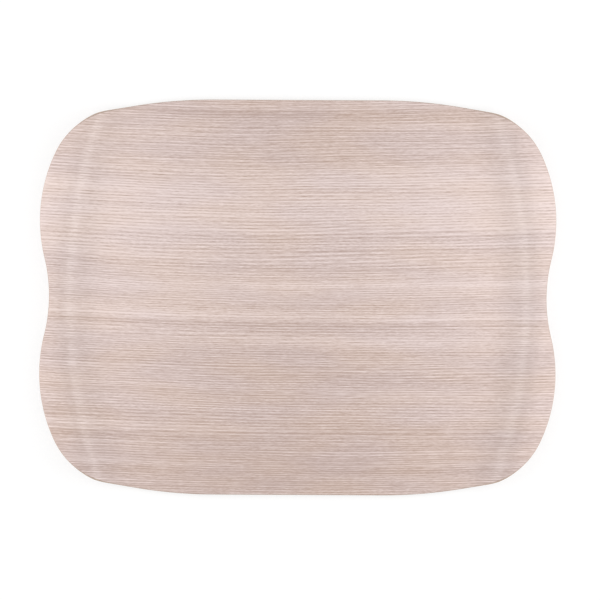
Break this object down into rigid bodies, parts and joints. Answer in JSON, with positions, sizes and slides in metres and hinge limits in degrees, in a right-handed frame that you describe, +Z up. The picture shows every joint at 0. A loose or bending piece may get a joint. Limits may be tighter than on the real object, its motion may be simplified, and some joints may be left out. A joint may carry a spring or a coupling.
{
  "type": "serving tray",
  "caption": "Low laminated serving tray: flat base, straight-grained wood face, two short ends that rise in a soft wave and are pinched in at the middle as hand grips.",
  "frame": {"origin": "centre of the flat underside, which is the bottom centre of the part's box", "axes": "+X along the length, from raised end to raised end; +Y across the width; +Z up, out of the serving face"},
  "size_m": [0.43, 0.33, 0.0163],
  "materials": {
    "decor_face": "satin",
    "long_grain_ply": "matt, cut edge only",
    "cross_grain_ply": "matt, cut edge only",
    "backing": "satin"
  },
  "bodies": {
    "root": {"bottom_backing_sheet": "backing", "lower_face_ply": "long_grain_ply", "lower_cross_ply": "cross_grain_ply", "lower_inner_ply": "long_grain_ply", "centre_cross_ply": "cross_grain_ply", "upper_inner_ply": "long_grain_ply", "upper_cross_ply": "cross_grain_ply", "upper_face_ply": "long_grain_ply", "top_decor_sheet": "decor_face"}
  },
  "joints": []
}
